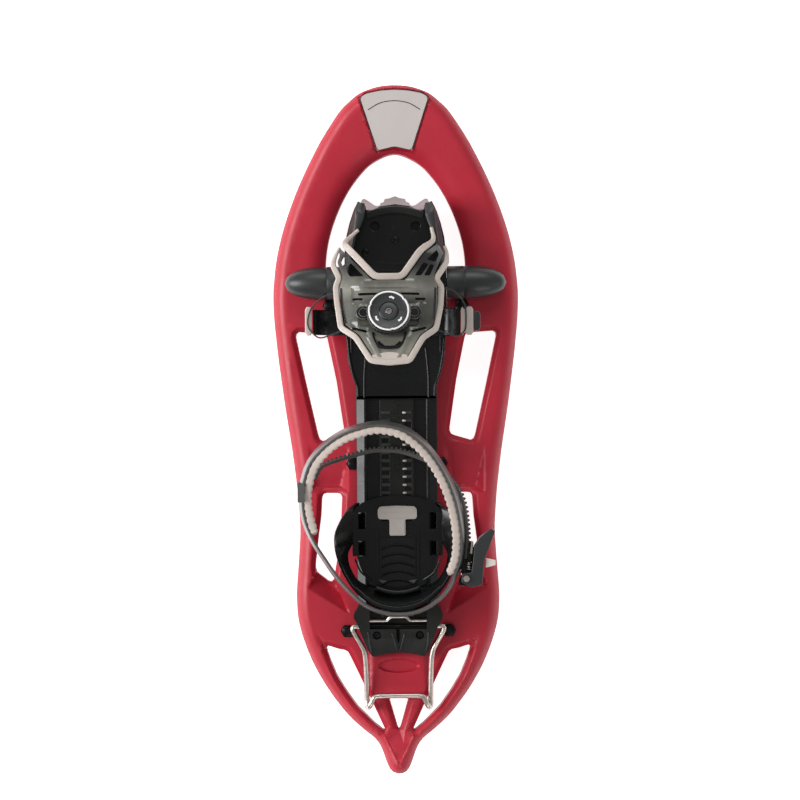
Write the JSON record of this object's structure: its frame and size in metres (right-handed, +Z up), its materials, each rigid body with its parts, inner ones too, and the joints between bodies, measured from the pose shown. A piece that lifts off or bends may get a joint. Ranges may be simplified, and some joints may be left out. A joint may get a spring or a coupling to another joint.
{
  "type": "snowshoe",
  "caption": "Moulded plastic snowshoe with a pivoting binding: laced dial harness, sliding heel cup, ratchet ankle strap, toe crampon, spikes and a heel-lift wire.",
  "frame": {"origin": "below the middle of the deck, on the plane of the spike tips", "axes": "+X to the right side of the shoe, +Y to the toe, +Z up"},
  "size_m": [0.2102, 0.584, 0.1499],
  "materials": {
    "deck_red": "moulded, satin",
    "black_plastic": "moulded, low sheen",
    "charcoal_plastic": "moulded, fine grain",
    "harness_grey": "translucent soft plastic",
    "beige_rubber": "soft overmould",
    "pad_beige": "soft ribbed pad",
    "strap_grey": "flexible strap",
    "lock_grey": "moulded",
    "label_silver": "satin film",
    "dial_white": "moulded",
    "steel": "stamped",
    "chrome": "polished wire",
    "dark_steel": "black finish",
    "lace_black": "braided cord"
  },
  "bodies": {
    "deck": {"block_screw_left": "dark_steel", "block_screw_right": "dark_steel", "deck": "deck_red", "heel_block": "charcoal_plastic", "latch_bar": "dark_steel", "nameplate": "label_silver", "pivot_axle": "steel", "pivot_pod_left": "charcoal_plastic", "pivot_pod_right": "charcoal_plastic", "spike_1": "steel", "spike_2": "steel", "spike_3": "steel", "spike_4": "steel", "spike_5": "steel", "spike_6": "steel", "spike_nut_1": "dark_steel", "spike_nut_2": "dark_steel", "spike_nut_3": "dark_steel", "spike_nut_4": "dark_steel", "spike_nut_5": "dark_steel", "spike_nut_6": "dark_steel"},
    "heel_lift": {"heel_lift_bail": "chrome"},
    "heel_latch": {"latch_rod": "chrome"},
    "dial": {"lace_spool": "black_plastic", "dial_knob": "black_plastic", "dial_ring": "dial_white", "dial_screw": "dark_steel"},
    "size_lock": {"size_lock": "lock_grey"},
    "buckle_lever": {"buckle_lever": "black_plastic", "buckle_pawl": "lock_grey"},
    "release_tab": {"release_tab": "beige_rubber"},
    "heel_carrier": {"heel_cup": "black_plastic", "heel_tongue": "black_plastic", "heel_strap": "strap_grey", "strap_pad": "pad_beige", "ladder_strap": "strap_grey", "strap_keeper": "strap_grey", "buckle_base": "black_plastic", "buckle_pin": "chrome"},
    "binding": {"binding_plate": "black_plastic", "size_scale": "black_plastic", "toe_crampon": "steel", "side_arm_left": "black_plastic", "side_arm_right": "black_plastic", "lace_guide_left": "beige_rubber", "lace_guide_right": "beige_rubber", "guide_cap_right": "charcoal_plastic", "lace_left": "lace_black", "lace_right": "lace_black", "harness_rim_upper": "beige_rubber", "harness_rim_lower": "beige_rubber", "harness_shell": "harness_grey", "toe_screw_left": "dark_steel", "toe_screw_middle": "dark_steel", "toe_screw_right": "dark_steel", "dial_base": "black_plastic"}
  },
  "joints": [
    {"name": "binding_pivot", "type": "hinge", "parent": "deck", "child": "binding", "pos_m": [0, 0.1256, 0.053], "axis": [-1, 0, 0], "range_deg": [0, 55]},
    {"name": "carrier_slide", "type": "slide", "parent": "binding", "child": "heel_carrier", "axis": [0, 1, 0], "range_m": [0, 0.0612]},
    {"name": "size_lock_hinge", "type": "hinge", "parent": "heel_carrier", "child": "size_lock", "pos_m": [0, -0.0885, 0.066], "axis": [1, 0, 0], "range_deg": [0, 30], "stiffness_Nm_per_rad": 0.05, "springref_deg": -17.19},
    {"name": "buckle_lever_hinge", "type": "hinge", "parent": "heel_carrier", "child": "buckle_lever", "pos_m": [0.0571, -0.123, 0.096], "axis": [0, 0, -1], "range_deg": [0, 60]},
    {"name": "release_tab_hinge", "type": "hinge", "parent": "buckle_lever", "child": "release_tab", "pos_m": [0.0704, -0.1105, 0.098], "axis": [0, 0, -1], "range_deg": [0, 8], "stiffness_Nm_per_rad": 0.05, "springref_deg": -11.46},
    {"name": "dial_turn", "type": "hinge", "parent": "binding", "child": "dial", "pos_m": [-0.0056, 0.0956, 0.1303], "axis": [0, 0.2419, 0.9703], "continuous": true},
    {"name": "heel_lift_hinge", "type": "hinge", "parent": "deck", "child": "heel_lift", "pos_m": [0, -0.1662, 0.056], "axis": [-1, 0, 0], "range_deg": [0, 90]},
    {"name": "latch_hinge", "type": "hinge", "parent": "deck", "child": "heel_latch", "pos_m": [0, -0.161, 0.058], "axis": [1, 0, 0], "range_deg": [0, 70], "stiffness_Nm_per_rad": 0.02, "springref_deg": -17.19}
  ]
}
